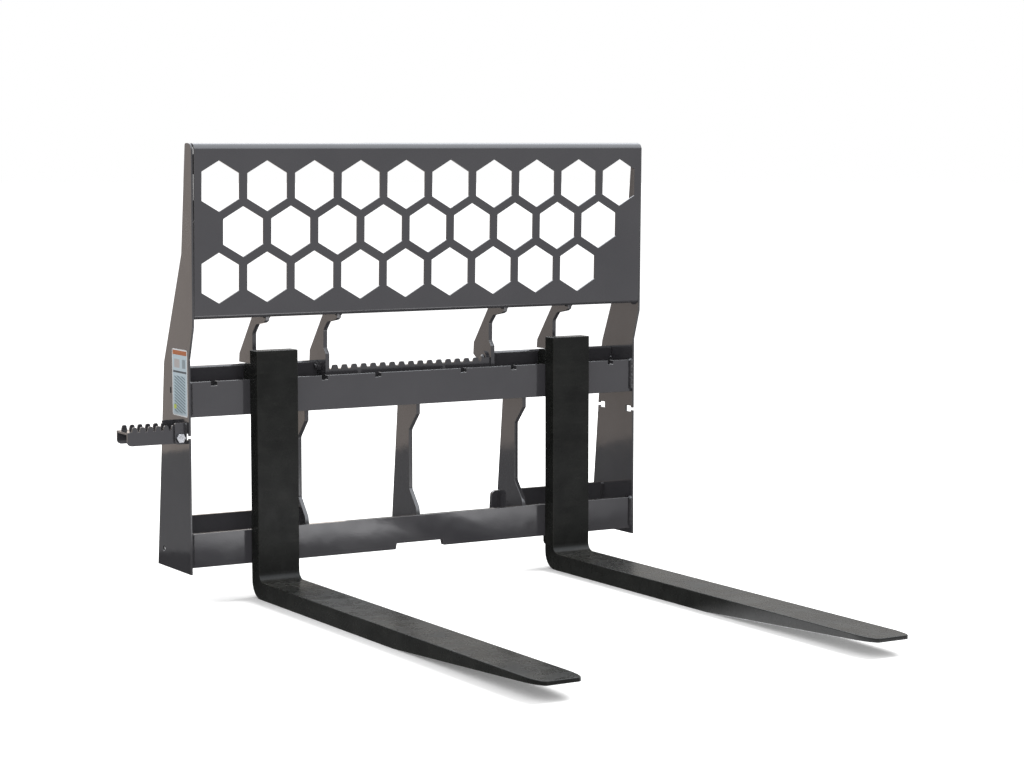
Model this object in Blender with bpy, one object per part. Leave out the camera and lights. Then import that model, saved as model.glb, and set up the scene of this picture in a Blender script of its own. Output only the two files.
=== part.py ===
"""Pallet fork attachment for a compact loader: a welded carriage with a honeycomb backrest, two sliding
hook-on forks with spring lock pins, a serrated centre step and a folding serrated side step.

Metres, +Z up. +X runs to the right across the carriage and -Y is the direction in which the forks point.
Heights are given above the floor that the fork blades lie on, and depths from the front face of the fork
bars. The empty "carriage_origin" moves everything so that the world origin is the middle of the upper fork
bar's top edge."""

from math import atan, cos, pi, radians, sin, sqrt, tan

import bmesh
import bpy
from mathutils import Matrix, Vector

# ---------------------------------------------------------------- driving dimensions
GAP = 0.0003                  # clearance between pieces that touch
CLEAR = 0.0008                # clearance around pieces that slide

HALF_WIDTH = 0.5905           # outer face of a side plate
SIDE_THICK = 0.0048
SIDE_FRONT = -0.007
FRAME_BOTTOM = 0.0636
FRAME_TOP = 1.0240

UPPER_BAR_Z = (0.4163, 0.4951)
LOWER_BAR_Z = (0.0777, 0.1543)
BAR_THICK = 0.016
NOTCH_PITCH = 0.1375          # spacing of the lock notches
NOTCH_FIRST = 0.1135          # innermost lock notch
NOTCH_WIDTH = 0.015
NOTCH_DEPTH = 0.010
FITTING_NOTCH = (-0.005, 0.0645)   # centre and half length of the notch where a fork is put on

PANEL_FRONT = -0.039          # front of the backrest at the height of its top row of windows
PANEL_LEAN = 0.026            # it leans forward, per metre of height
PANEL_BOTTOM = 0.636
PANEL_THICK = 0.0055
PANEL_BEND = 0.0165
PANEL_TOP_FLANGE = 0.040
PANEL_BOTTOM_FLANGE = 0.030
HEX_FLATS = 0.0975            # width of a window across its flats
HEX_PITCH = 0.1168
HEX_ROWS = ((0.9294, -4.5, 10), (0.8285, -4, 9), (0.7267, -4.5, 9))   # height, first window, count
HEX_LIMIT = HALF_WIDTH - 0.023   # the outermost windows are cut off here

UPRIGHT_THICK = 0.010
BACKREST_UPRIGHTS = {"outer_left": -0.400, "inner_left": -0.2205,
                     "inner_right": 0.2205, "outer_right": 0.400}
LOWER_UPRIGHTS = {"left": -0.290, "centre": 0.0, "right": 0.290}

ATTACH_SLOPE = 0.1101         # rearward lean of the loader's mounting plane, per metre down
ATTACH_REF = (0.112, 0.404)   # a point (y, z) of that plane
ATTACH_THICK = 0.010
ATTACH_HOOK_TOP = 0.5227
ATTACH_HOOK_FOOT = 0.4195
ATTACH_HOOK_INNER = 0.2258    # inner end of an upper lip
ATTACH_PLATE_TOP = 0.1768
ATTACH_PLATE_INNER = 0.265
ATTACH_LEDGE = 0.034          # reach of the wedge-pin ledge
WEDGE_SLOT = (0.480, 0.050, 0.016)   # centre in x, length, width of the wedge-pin slot

CENTRE_TEETH = (0.0254, 0.0165, 0.0105)   # spacing, width at the root, width at the tip
SIDE_TEETH = (0.0188, 0.0135, 0.0080)
TREAD_SHEET = 0.005
STEP_BOLT = (0.0785, 0.510)    # y, z of the bolts at the ends of the centre step

FORK_X = 0.3885               # rest position of a fork, at the third notch
FORK_WIDTH = 0.1016
FORK_THICK = 0.038
BLADE_THICK = 0.040
BLADE_REACH = 1.258           # from the bar's face to the tip: 1219 mm of blade
SHANK_TOP = 0.5611
SHANK_BACK = -0.001
HEEL_RADIUS = 0.042
ARCH_RADIUS = 0.020
TAPER_START = 0.680
TIP_THICK = 0.009
TIP_HALF = 0.035
BOTTOM_HOOK_HALF = 0.035

PIN_TRAVEL = 0.0105           # drop of a lock pin from raised to locked
PIN_RADIUS = 0.0064
PIN_Y = 0.0085
STEM_RADIUS = 0.0045
HOOK_TOP = 0.530
HOOK_BACK = 0.034
PLUG_BOTTOM = 0.524

STEP_PIVOT = (-HALF_WIDTH - 0.0145, 0.371)    # x, z of the side step's pivot
STEP_FRONT = 0.0155             # outer faces of the side step's flanges
STEP_BACK = 0.0800
STEP_OUTER_END = -0.7275

# ---------------------------------------------------------------- finishes: colour, roughness, metallic
CHARCOAL = ((0.075, 0.074, 0.078), 0.38, 0.0)
FORK_BLACK = ((0.022, 0.022, 0.021), 0.42, 0.0)
ZINC = ((0.72, 0.73, 0.74), 0.28, 1.0)
SPRING_STEEL = ((0.36, 0.36, 0.37), 0.35, 1.0)


def clear_scene():
    for obj in list(bpy.data.objects):
        bpy.data.objects.remove(obj, do_unlink=True)


def finish_object(name, bm, finish, origin=(0.0, 0.0, 0.0), smooth_angle=None):
    """Makes an object from a bmesh in floor coordinates, with its origin moved to a point of the model."""
    bmesh.ops.recalc_face_normals(bm, faces=bm.faces)
    bmesh.ops.translate(bm, verts=bm.verts, vec=-Vector(origin))
    mesh = bpy.data.meshes.new(name)
    bm.to_mesh(mesh)
    bm.free()
    if smooth_angle is not None:
        mesh.shade_smooth()
        mesh.set_sharp_from_angle(angle=radians(smooth_angle))
    obj = bpy.data.objects.new(name, mesh)
    bpy.context.scene.collection.objects.link(obj)
    obj.location = origin
    colour, roughness, metallic = finish
    material = bpy.data.materials.new(f"{name}_finish")
    material.use_nodes = True
    shader = material.node_tree.nodes["Principled BSDF"]
    shader.inputs["Base Color"].default_value = (*colour, 1.0)
    shader.inputs["Roughness"].default_value = roughness
    shader.inputs["Metallic"].default_value = metallic
    mesh.materials.append(material)
    return obj


# ---------------------------------------------------------------- solids as bmeshes
PLANES = {"X": lambda u, v, w: (w, u, v), "Y": lambda u, v, w: (u, w, v), "Z": lambda u, v, w: (u, v, w)}


def prism(outline, low, high, axis, holes=()):
    """A plate: an outline with holes, extruded from low to high along an axis.

    Outline points are (y, z) for X, (x, z) for Y and (x, y) for Z."""
    place = PLANES[axis]
    bm = bmesh.new()
    edges = []
    for loop in (outline, *holes):
        verts = [bm.verts.new(place(u, v, low)) for u, v in loop]
        edges += [bm.edges.new((verts[i - 1], verts[i])) for i in range(len(verts))]
    bmesh.ops.triangle_fill(bm, use_beauty=True, use_dissolve=False, edges=edges)
    bmesh.ops.dissolve_limit(bm, angle_limit=radians(0.5), verts=[], edges=bm.edges)
    top = bmesh.ops.extrude_face_region(bm, geom=bm.faces)
    moved = [item for item in top["geom"] if isinstance(item, bmesh.types.BMVert)]
    bmesh.ops.translate(bm, verts=moved, vec=place(0.0, 0.0, high - low))
    bmesh.ops.recalc_face_normals(bm, faces=bm.faces)
    return bm


def turned(profile, centre, axis="Z", sides=24):
    """A solid of revolution. The profile's points are (radius, place along the axis)."""
    place = {"X": lambda r, a, h: (h, r * cos(a), r * sin(a)),
             "Y": lambda r, a, h: (r * sin(a), h, r * cos(a)),
             "Z": lambda r, a, h: (r * cos(a), r * sin(a), h)}[axis]
    bm = bmesh.new()
    rings = []
    for radius, height in profile:
        count = 1 if radius == 0 else sides
        rings.append([bm.verts.new(place(radius, 2 * pi * i / sides, height)) for i in range(count)])
    for ring, following in zip(rings, rings[1:]):
        bridge(bm, ring, following)
    for ring in (rings[0], rings[-1]):
        if len(ring) > 1:
            bm.faces.new(ring)
    bmesh.ops.translate(bm, verts=bm.verts, vec=centre)
    bmesh.ops.recalc_face_normals(bm, faces=bm.faces)
    return bm


def bridge(bm, ring, following):
    """Joins two closed rings of vertices, either of which may be a single point."""
    count = max(len(ring), len(following))
    for i in range(count):
        j = (i + 1) % count
        corners = [ring[i % len(ring)], ring[j % len(ring)],
                   following[j % len(following)], following[i % len(following)]]
        bm.faces.new(list(dict.fromkeys(corners)))


def combine(operation, target, *tools):
    """The Boolean union or difference of bmeshes, as one new bmesh."""
    result = bpy.data.objects.new("target", bpy.data.meshes.new("target"))
    target.to_mesh(result.data)
    target.free()
    bpy.context.scene.collection.objects.link(result)
    helpers = []
    for tool in tools:
        helper = bpy.data.objects.new("tool", bpy.data.meshes.new("tool"))
        tool.to_mesh(helper.data)
        tool.free()
        bpy.context.scene.collection.objects.link(helper)
        modifier = result.modifiers.new("boolean", "BOOLEAN")
        modifier.operation = operation
        modifier.object = helper
        helpers.append(helper)
    evaluated = result.evaluated_get(bpy.context.evaluated_depsgraph_get())
    bm = bmesh.new()
    bm.from_mesh(evaluated.to_mesh())
    evaluated.to_mesh_clear()
    for obj in (result, *helpers):
        bpy.data.objects.remove(obj, do_unlink=True)
    return bm


def box(x, y, z):
    return prism([(x[0], y[0]), (x[1], y[0]), (x[1], y[1]), (x[0], y[1])], z[0], z[1], "Z")


def arc(centre, radius, start, end, steps):
    """Points on an arc, with its angles in degrees."""
    angles = [radians(start + (end - start) * i / steps) for i in range(steps + 1)]
    return [(centre[0] + radius * cos(a), centre[1] + radius * sin(a)) for a in angles]


def circle(centre, radius, steps=24):
    return arc(centre, radius, 0, 360 * (steps - 1) / steps, steps - 1)


def round_corner(before, corner, after, radius, steps=4):
    """An arc that rounds one corner of an outline."""
    c = Vector(corner)
    first = (Vector(before) - c).normalized()
    second = (Vector(after) - c).normalized()
    half = first.angle(second) / 2
    middle = c + (first + second).normalized() * (radius / sin(half))
    a = c + first * (radius / tan(half)) - middle
    b = c + second * (radius / tan(half)) - middle
    sweep = a.angle_signed(b)
    return [tuple(middle + Matrix.Rotation(-sweep * i / steps, 2) @ a) for i in range(steps + 1)]


def rounded(outline, radii):
    """An outline with some corners rounded: radii maps a corner's number to its radius."""
    points = []
    for i, corner in enumerate(outline):
        if i in radii:
            points += round_corner(outline[i - 1], corner, outline[(i + 1) % len(outline)], radii[i])
        else:
            points.append(corner)
    return points


def panel_y(z):
    """Depth of the leaning backrest's front face."""
    return PANEL_FRONT + (HEX_ROWS[0][0] - z) * PANEL_LEAN


def attach_plane_y(z):
    """Rear face of the plates that the loader's coupler bears on."""
    return ATTACH_REF[0] + (ATTACH_REF[1] - z) * ATTACH_SLOPE


# ---------------------------------------------------------------- welded frame
def key_slot(edge_y, inward, z):
    """Corners of a T-shaped slot that opens at an edge, for cutting into a side plate's outline."""
    stem, bar, half_stem, half_bar = 0.008, 0.022, 0.003, 0.0072
    a, b = edge_y + inward * stem, edge_y + inward * (stem + bar)
    return [(edge_y, z - half_stem), (a, z - half_stem), (a, z - half_bar), (b, z - half_bar),
            (b, z + half_bar), (a, z + half_bar), (a, z + half_stem), (edge_y, z + half_stem)]


def side_plates():
    slot_z = 0.373
    rear_low, rear_mid, waist = (0.181, FRAME_BOTTOM), (0.1327, 0.531), (0.0264, 0.7794)
    rear_slope = (rear_mid[0] - rear_low[0]) / (rear_mid[1] - rear_low[1])
    slot_rear_y = rear_low[0] + rear_slope * (slot_z - rear_low[1])
    upper = rounded([waist, (0.0003, FRAME_TOP - 0.007), (-0.0004, FRAME_TOP), (panel_y(FRAME_TOP), FRAME_TOP)],
                    {2: 0.006, 3: PANEL_BEND})
    outline = [(SIDE_FRONT, FRAME_BOTTOM), rear_low, *key_slot(slot_rear_y, -1, slot_z),
               *round_corner(rear_low, rear_mid, waist, 0.030), *upper,
               *round_corner(upper[-1], (panel_y(0.618), 0.618), (SIDE_FRONT, 0.546), 0.020),
               *round_corner((panel_y(0.618), 0.618), (SIDE_FRONT, 0.546), (SIDE_FRONT, slot_z), 0.020),
               *reversed(key_slot(SIDE_FRONT, 1, slot_z))]
    holes = [circle((0.1457, 0.1035), 0.006, 16),
             [(0.092, 0.464), (0.098, 0.464), (0.098, 0.477), (0.092, 0.477)]]
    for side, sign in (("left", -1), ("right", 1)):
        low, high = sorted((sign * HALF_WIDTH, sign * (HALF_WIDTH - SIDE_THICK)))
        finish_object(f"{side}_side_plate", prism(outline, low, high, "X", holes), CHARCOAL)


def window_outline(x, z):
    """A hexagon with two upright sides, cut off where it would come too near the panel's end."""
    corner, slant = HEX_FLATS / sqrt(3), tan(radians(30))
    outline = []
    for px, pz in arc((x, z), corner, 30, 330, 5):
        over = max(0.0, abs(px) - HEX_LIMIT)
        outline.append((px - over * (1 if px > 0 else -1), pz + over * slant * (1 if pz > z else -1)))
    return outline


def backrest_panel():
    inner = HALF_WIDTH - SIDE_THICK - GAP
    outer_bend, inner_bend = PANEL_BEND, PANEL_BEND - PANEL_THICK
    back_top = PANEL_FRONT + PANEL_TOP_FLANGE
    back_bottom = PANEL_FRONT + PANEL_BOTTOM_FLANGE
    top_centre = (PANEL_FRONT + PANEL_BEND, FRAME_TOP - PANEL_BEND)
    bottom_bend = 0.009
    bottom_centre = (PANEL_FRONT + bottom_bend, PANEL_BOTTOM + bottom_bend)
    profile = [(back_top, FRAME_TOP), *arc(top_centre, outer_bend, 90, 180, 6),
               *arc(bottom_centre, bottom_bend, 180, 270, 4), (back_bottom, PANEL_BOTTOM),
               (back_bottom, PANEL_BOTTOM + PANEL_THICK),
               *arc(bottom_centre, bottom_bend - PANEL_THICK, 270, 180, 3),
               *arc(top_centre, inner_bend, 180, 90, 5), (back_top, FRAME_TOP - PANEL_THICK)]
    profile = [(y + panel_y(z) - PANEL_FRONT, z) for y, z in profile]
    windows = []
    for row_z, first, count in HEX_ROWS:
        for k in range(count):
            outline = window_outline((first + k) * HEX_PITCH, row_z)
            windows.append(prism(outline, PANEL_FRONT - 0.015, PANEL_FRONT + 0.020, "Y"))
    cutter = windows[0]
    for window in windows[1:]:
        copy = bpy.data.meshes.new("window")
        window.to_mesh(copy)
        window.free()
        cutter.from_mesh(copy)
        bpy.data.meshes.remove(copy)
    finish_object("backrest_panel", combine("DIFFERENCE", prism(profile, -inner, inner, "X"), cutter),
                  CHARCOAL, smooth_angle=25)


def fork_bars():
    inner = HALF_WIDTH - SIDE_THICK - GAP
    low, top = UPPER_BAR_Z
    outline = [(-inner, low), (inner, low), (inner, top)]
    centres = [NOTCH_FIRST + NOTCH_PITCH * i for i in range(4)]
    for x in sorted(centres + [-c for c in centres], reverse=True):
        right, left, floor = x + NOTCH_WIDTH / 2, x - NOTCH_WIDTH / 2, top - NOTCH_DEPTH
        outline += [(right, top), (right, floor), (left, floor), (left, top)]
    outline.append((-inner, top))
    finish_object("upper_fork_bar", prism(outline, 0.0, BAR_THICK, "Y"), CHARCOAL)

    low, top = LOWER_BAR_Z
    notch_top, slope = low + 0.0138, 0.003
    middle, half = FITTING_NOTCH
    outline = [(-inner, low), (middle - half, low), (middle - half + slope, notch_top),
               (middle + half - slope, notch_top), (middle + half, low), (inner, low),
               (inner, top), (-inner, top)]
    finish_object("lower_fork_bar", prism(outline, 0.0, BAR_THICK, "Y"), CHARCOAL)


def backrest_uprights():
    """Plates from the rear of the upper bar up to the panel's lower flange. They stand back behind the bar's
    top edge, so that the fork hooks pass in front of them. The outer ones end in front of the upper lips."""
    head, foot = PANEL_BOTTOM - GAP, ATTACH_HOOK_FOOT
    front = [(-0.0145, head), (-0.012, 0.6264), (-0.001, 0.6215), (0.0383, 0.6150), (0.058, 0.595),
             (0.0585, 0.553), (0.0478, 0.540), (0.0478, 0.462), (BAR_THICK + GAP, 0.456),
             (BAR_THICK + GAP, foot)]
    free_back = [(0.1085, foot), (0.1085, 0.500), (0.1335, 0.5155), (0.131, 0.5435), (0.0645, 0.627),
                 (0.058, head)]
    lip_front = attach_plane_y(foot) - ATTACH_THICK - 0.0005
    shelf = ATTACH_HOOK_TOP + 0.0006
    lip_back = [(lip_front, foot), (attach_plane_y(shelf) - ATTACH_THICK - 0.0005, shelf), (0.1335, shelf),
                (0.131, 0.5435), (0.0645, 0.627), (0.058, head)]
    for place, x in BACKREST_UPRIGHTS.items():
        back = lip_back if place.startswith("outer") else free_back
        outline = rounded(front + back, {3: 0.010, 4: 0.012})
        finish_object(f"backrest_upright_{place}",
                      prism(outline, x - UPRIGHT_THICK / 2, x + UPRIGHT_THICK / 2, "X"), CHARCOAL)


def lower_uprights():
    """Plates that join the backs of the two fork bars. The outer ones are notched around the upper lips and
    the lower attach plates."""
    bar_back, head, foot = BAR_THICK + GAP, 0.450, 0.0985
    front = [(bar_back, head), (bar_back, 0.392), (0.054, 0.3507), (0.054, 0.2106), (0.0205, 0.170),
             (bar_back, 0.150), (bar_back, 0.106), (0.046, 0.106), (0.050, foot)]
    shelf, lip = ATTACH_PLATE_TOP + 0.0006, ATTACH_HOOK_FOOT - 0.0006
    inset = ATTACH_THICK + 0.0006
    free_back = [(attach_plane_y(foot), foot), (attach_plane_y(head), head)]
    notched = [(attach_plane_y(foot) - inset, foot), (attach_plane_y(shelf) - inset, shelf),
               (attach_plane_y(shelf), shelf), (attach_plane_y(lip), lip),
               (attach_plane_y(lip) - inset, lip), (attach_plane_y(head) - inset, head)]
    for place, x in LOWER_UPRIGHTS.items():
        back = free_back if place == "centre" else notched
        outline = rounded(front + back, {2: 0.010, 3: 0.010})
        finish_object(f"lower_upright_{place}",
                      prism(outline, x - UPRIGHT_THICK / 2, x + UPRIGHT_THICK / 2, "X"), CHARCOAL)


def attach_hooks():
    """Upper lips of the quick-attach: a leaning web with a flange folded back and down at 45 degrees."""
    lean = atan(ATTACH_SLOPE)
    bottom = ATTACH_HOOK_FOOT
    top_back = attach_plane_y(0.508)
    bend_front = attach_plane_y(ATTACH_HOOK_TOP) - ATTACH_THICK
    drop = 0.030
    ridge = (bend_front + 0.0115, ATTACH_HOOK_TOP)
    tip = (ridge[0] + drop, ridge[1] - drop)
    under = (tip[0] - ATTACH_THICK * sin(pi / 4), tip[1] - ATTACH_THICK * sin(pi / 4))
    foot = (attach_plane_y(bottom), bottom)
    profile = [(foot[0] - ATTACH_THICK / cos(lean), bottom), foot,
               *round_corner(foot, (top_back, 0.5035), under, 0.0025), under, tip, ridge,
               (bend_front + 0.004, ATTACH_HOOK_TOP), (bend_front, ATTACH_HOOK_TOP - 0.004)]
    for side, sign in (("left", -1), ("right", 1)):
        ends = sorted((sign * ATTACH_HOOK_INNER, sign * (HALF_WIDTH - SIDE_THICK - GAP)))
        finish_object(f"{side}_attach_hook", prism(profile, ends[0], ends[1], "X"), CHARCOAL)


def attach_plates():
    """Lower quick-attach plates: a leaning plate with a ledge folded back at its foot. A slot through the
    ledge takes the loader's wedge pin. The inner top corner is rounded."""
    foot = 0.0985
    ledge_angle = radians(30)
    lean = atan(ATTACH_SLOPE)
    along = Vector((cos(ledge_angle), -sin(ledge_angle)))
    across = Vector((-sin(ledge_angle), -cos(ledge_angle))) * ATTACH_THICK
    root = Vector((attach_plane_y(foot), foot))
    tip = root + along * ATTACH_LEDGE
    profile = [(attach_plane_y(ATTACH_PLATE_TOP) - ATTACH_THICK / cos(lean), ATTACH_PLATE_TOP),
               (attach_plane_y(foot - 0.008) - ATTACH_THICK / cos(lean), foot - 0.008),
               tuple(root + across + along * 0.003), tuple(tip + across), tuple(tip), tuple(root),
               (attach_plane_y(ATTACH_PLATE_TOP), ATTACH_PLATE_TOP)]
    slot_x, slot_length, slot_width = WEDGE_SLOT
    middle = root + along * 0.019
    for side, sign in (("left", -1), ("right", 1)):
        ends = sorted((sign * ATTACH_PLATE_INNER, sign * (HALF_WIDTH - SIDE_THICK - GAP)))
        slot = box((sign * slot_x - slot_length / 2, sign * slot_x + slot_length / 2),
                   (middle.x - slot_width / 2, middle.x + slot_width / 2), (0.05, 0.13))
        inner, radius = sign * ATTACH_PLATE_INNER, 0.010
        corner = (inner + sign * radius, ATTACH_PLATE_TOP - radius)
        start, end = (90, 180) if sign > 0 else (90, 0)
        trim = [(inner - sign * 0.01, ATTACH_PLATE_TOP - radius), (inner - sign * 0.01, 0.19),
                (corner[0], 0.19), *arc(corner, radius, start, end, 5)]
        finish_object(f"{side}_attach_plate",
                      combine("DIFFERENCE", prism(profile, ends[0], ends[1], "X"), slot,
                              prism(trim, 0.10, 0.16, "Y")), CHARCOAL)


# ---------------------------------------------------------------- steps
def serrated_edge(first, last, valley, tip, teeth):
    """Points of a row of rounded teeth from left to right, spaced evenly between two end valleys."""
    spacing, root_width, tip_width = teeth
    count = round((last - first) / spacing)
    pitch = (last - first) / count
    points = []
    for i in range(count):
        x = first + pitch * (i + 0.5)
        low, high = root_width / 2, tip_width / 2
        points += [(x - low, valley), (x - high - 0.0008, tip - 0.002), (x - high + 0.0012, tip),
                   (x + high - 0.0012, tip), (x + high + 0.0008, tip - 0.002), (x + low, valley)]
    return points


def centre_step():
    """A folded tread between the inner uprights: a serrated front edge, a flat behind it, a rear flange and
    an ear at each end, bolted to the upright."""
    half = BACKREST_UPRIGHTS["inner_right"] - UPRIGHT_THICK / 2 - GAP
    front, back = 0.052, 0.106
    valley, tip, low = 0.504, 0.5135, 0.462
    edge = serrated_edge(-half + 0.004, half - 0.026, valley, tip, CENTRE_TEETH)
    face = [(half, low), (half, tip - 0.001), (half - 0.022, tip - 0.001), (half - 0.025, valley),
            *reversed(edge), (-half, valley), (-half, low)]
    tread = box((-half, half), (front + 0.001, back), (valley - 0.008, valley - 0.008 + TREAD_SHEET))
    rear = box((-half, half), (back - TREAD_SHEET, back), (low, valley - 0.004))
    ear_mid, ear_z, ear_radius = *STEP_BOLT, 0.016
    ear = [(ear_mid + 0.019, valley - 0.006), *arc((ear_mid, ear_z), ear_radius, 0, 180, 10),
           (ear_mid - 0.026, valley - 0.006)]
    bolt_hole = circle((ear_mid, ear_z), 0.0056, 16)
    parts = [tread, rear]
    for sign in (-1, 1):
        ends = sorted((sign * half, sign * (half - TREAD_SHEET)))
        parts.append(prism(ear, ends[0], ends[1], "X", [bolt_hole]))
    solid = combine("UNION", prism(face, front, front + TREAD_SHEET, "Y"), *parts)
    finish_object("centre_step", solid, CHARCOAL)

    upright_out = BACKREST_UPRIGHTS["inner_right"] + UPRIGHT_THICK / 2
    for side, sign in (("left", -1), ("right", 1)):
        dome = [(0.0, 0.0058), (0.0036, 0.0053), (0.0068, 0.0035), (0.0086, 0.0)]
        shank = [(0.0049, 0.0), (0.0049, -0.0285), (0.0, -0.0285)]
        head_x = sign * (half - TREAD_SHEET - GAP)
        profile = [(r, -sign * h) for r, h in dome + shank]
        finish_object(f"centre_step_bolt_{side}", turned(profile, (head_x, ear_mid, ear_z), "X"), CHARCOAL,
                      smooth_angle=40)
        nut_x = sorted((sign * (upright_out + GAP), sign * (upright_out + 0.0087)))
        hexagon, bore = circle((ear_mid, ear_z), 0.0098, 6), circle((ear_mid, ear_z), 0.0052, 16)
        finish_object(f"centre_step_nut_{side}", prism(hexagon, nut_x[0], nut_x[1], "X", [bore]), CHARCOAL)


def upright_bolt_holes():
    """Cuts the holes for the centre step's bolts through the two inner uprights."""
    for place in ("inner_left", "inner_right"):
        obj = bpy.data.objects[f"backrest_upright_{place}"]
        bm = bmesh.new()
        bm.from_mesh(obj.data)
        x = BACKREST_UPRIGHTS[place]
        bore = prism(circle(STEP_BOLT, 0.0056, 16), x - 0.02, x + 0.02, "X")
        bm = combine("DIFFERENCE", bm, bore)
        bm.to_mesh(obj.data)
        bm.free()


def side_step():
    """A folding step outside the left plate: a channel with its flanges down and a row of teeth standing in
    line with each flange. It pivots on two bolts in ears welded to the side plate."""
    pivot_x, pivot_z = STEP_PIVOT
    low, top, tip = 0.3585, 0.3890, 0.4000
    outer, web_inner = STEP_OUTER_END, pivot_x - 0.0025
    hole = [circle(STEP_PIVOT, 0.0064, 16)]
    flange = [(outer + 0.010, low), *arc(STEP_PIVOT, pivot_z - low, -90, 70, 7)]
    teeth = serrated_edge(outer + 0.008, web_inner, top, tip, SIDE_TEETH)
    flange += [(web_inner, top), *reversed(teeth), (outer, top),
               *arc((outer + 0.010, low + 0.010), 0.010, 180, 250, 4)]
    flanges = [prism(flange, STEP_FRONT, STEP_FRONT + TREAD_SHEET, "Y", hole),
               prism(flange, STEP_BACK - TREAD_SHEET, STEP_BACK, "Y", hole)]
    web = box((outer, web_inner), (STEP_FRONT + 0.001, STEP_BACK - 0.001), (top - TREAD_SHEET, top - 0.0004))
    finish_object("side_step", combine("UNION", web, *flanges), CHARCOAL,
                  origin=(pivot_x, (STEP_FRONT + STEP_BACK) / 2, pivot_z))

    ear_thick = 0.005
    faces = {"front": (STEP_FRONT - CLEAR - ear_thick, -1), "rear": (STEP_BACK + CLEAR, 1)}
    plate = -HALF_WIDTH - GAP
    ear_end = pivot_x - 0.0125
    ear = rounded([(plate, 0.357), (plate, 0.405), (ear_end, 0.405), (ear_end, 0.357)], {2: 0.003, 3: 0.008})
    for place, (y, outward) in faces.items():
        finish_object(f"side_step_ear_{place}",
                      prism(ear, y, y + ear_thick, "Y", [circle(STEP_PIVOT, 0.0064, 16)]), CHARCOAL)
        seat = y if outward < 0 else y + ear_thick
        head = sorted((seat + outward * GAP, seat + outward * 0.0075))
        hex_head = prism(circle(STEP_PIVOT, 0.0110, 6), head[0], head[1], "Y")
        inward = -outward
        reach = inward * 0.0245
        shank = turned([(0.0, -inward * 0.004), (0.0058, -inward * 0.004), (0.0058, reach), (0.0, reach)],
                       (pivot_x, seat, pivot_z), "Y", 16)
        finish_object(f"side_step_bolt_{place}", combine("UNION", hex_head, shank), ZINC)
        flange_inside = STEP_FRONT + TREAD_SHEET if outward < 0 else STEP_BACK - TREAD_SHEET
        nut = sorted((flange_inside + inward * CLEAR, flange_inside + inward * 0.0105))
        hexagon, bore = circle(STEP_PIVOT, 0.0108, 6), circle(STEP_PIVOT, 0.0062, 16)
        finish_object(f"side_step_nut_{place}", prism(hexagon, nut[0], nut[1], "Y", [bore]), ZINC)


# ---------------------------------------------------------------- forks and their locks
def fork_stations():
    """Pairs of outer and inner points (y, z) from the shank's top, round the heel, to the blade's tip, each
    with the half width there."""
    half = FORK_WIDTH / 2
    inner_face = SHANK_BACK - FORK_THICK
    stations = [((SHANK_BACK, SHANK_TOP), (inner_face, SHANK_TOP), half)]
    heel = (SHANK_BACK - HEEL_RADIUS, HEEL_RADIUS)
    arch = (inner_face - ARCH_RADIUS, BLADE_THICK + ARCH_RADIUS)
    for outer, inner in zip(arc(heel, HEEL_RADIUS, 0, -90, 8), arc(arch, ARCH_RADIUS, 0, -90, 8)):
        stations.append((outer, inner, half))
    round_start = BLADE_REACH - 0.068
    for y in [TAPER_START, *[TAPER_START + (round_start - TAPER_START) * k / 2 for k in (1, 2)],
              *[BLADE_REACH - 0.068 * (1 - k / 7) ** 1.6 for k in range(1, 8)]]:
        taper = max(0.0, (y - TAPER_START) / (BLADE_REACH - TAPER_START))
        under = (BLADE_THICK - TIP_THICK) * taper
        into_tip = max(0.0, (y - round_start) / (BLADE_REACH - round_start))
        width = TIP_HALF + (half - TIP_HALF) * sqrt(1 - into_tip ** 2)
        stations.append(((-y, under), (-y, BLADE_THICK), width))
    return stations


def fork(side, sign):
    x = sign * FORK_X
    bm = bmesh.new()
    rings = []
    for (oy, oz), (iy, iz), half in fork_stations():
        corners = [(x - half, oy, oz), (x + half, oy, oz), (x + half, iy, iz), (x - half, iy, iz)]
        rings.append([bm.verts.new(corner) for corner in corners])
    for ring, following in zip(rings, rings[1:]):
        bridge(bm, ring, following)
    bm.faces.new(rings[0])
    bm.faces.new(rings[-1])
    finish_object(f"{side}_fork", bm, FORK_BLACK, origin=(x, 0.0, UPPER_BAR_Z[1]), smooth_angle=30)


def top_hook(side, sign):
    x, half = sign * FORK_X, FORK_WIDTH / 2 - 0.0008
    seat, leg_front, leg_foot = UPPER_BAR_Z[1] + CLEAR, BAR_THICK + 0.0012, 0.470
    face = SHANK_BACK + GAP
    profile = [(face, seat), (leg_front, seat), (leg_front, leg_foot), (HOOK_BACK - 0.003, leg_foot),
               (HOOK_BACK, leg_foot + 0.003), (HOOK_BACK, HOOK_TOP - 0.008), (HOOK_BACK - 0.008, HOOK_TOP),
               (face, HOOK_TOP)]
    centre = (x, PIN_Y, 0.0)
    bore = turned([(0.0, 0.48), (0.0070, 0.48), (0.0070, 0.527), (0.0, 0.527)], centre, sides=20)
    plug_seat = turned([(0.0, PLUG_BOTTOM - GAP), (0.0086, PLUG_BOTTOM - GAP), (0.0086, 0.54), (0.0, 0.54)],
                       centre, sides=20)
    finish_object(f"{side}_fork_top_hook",
                  combine("DIFFERENCE", prism(profile, x - half, x + half, "X"), bore, plug_seat),
                  FORK_BLACK, origin=(x, 0.0, UPPER_BAR_Z[1]))


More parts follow.
